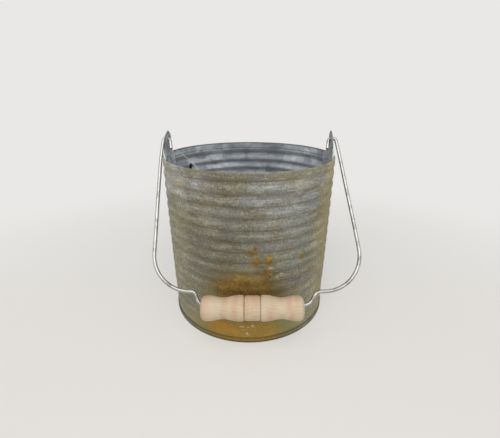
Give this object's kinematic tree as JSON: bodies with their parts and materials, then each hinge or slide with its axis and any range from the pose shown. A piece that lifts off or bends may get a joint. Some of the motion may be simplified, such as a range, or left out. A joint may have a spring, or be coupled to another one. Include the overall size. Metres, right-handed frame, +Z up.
{
  "type": "milk pail",
  "caption": "Round, slightly tapered pail of ribbed galvanised sheet with upright ears, a bent wire bail and a turned wooden grip.",
  "frame": {"origin": "centre of the foot ring, on the plane the pail stands on", "axes": "+Z up along the pail's axis; +X towards the right-hand ear; at rest the bail hangs down on the -Y side, with its grip on the wall"},
  "size_m": [0.2009, 0.2029, 0.2006],
  "materials": {
    "galvanised_sheet": "weathered galvanised steel with rust",
    "ear_plate": "dull galvanised steel",
    "rivet": "dull",
    "bright_wire": "bright drawn wire",
    "turned_wood": "bare, smooth, pale"
  },
  "bodies": {
    "pail": {"body_sheet": "galvanised_sheet", "base_pan": "galvanised_sheet", "ear_left": "ear_plate", "ear_right": "ear_plate", "rivet_left_front": "rivet", "rivet_left_back": "rivet", "rivet_right_front": "rivet", "rivet_right_back": "rivet"},
    "bail": {"bail_wire": "bright_wire"},
    "grip": {"grip": "turned_wood"}
  },
  "joints": [
    {"name": "bail_swing", "type": "hinge", "parent": "pail", "child": "bail", "pos_m": [0, 0, 0.1922], "axis": [-1, 0, 0], "range_deg": [0, 288.2]},
    {"name": "grip_spin", "type": "hinge", "parent": "bail", "child": "grip", "pos_m": [0.00315, -0.10091, 0.05279], "axis": [1, 0, 0], "continuous": true}
  ]
}
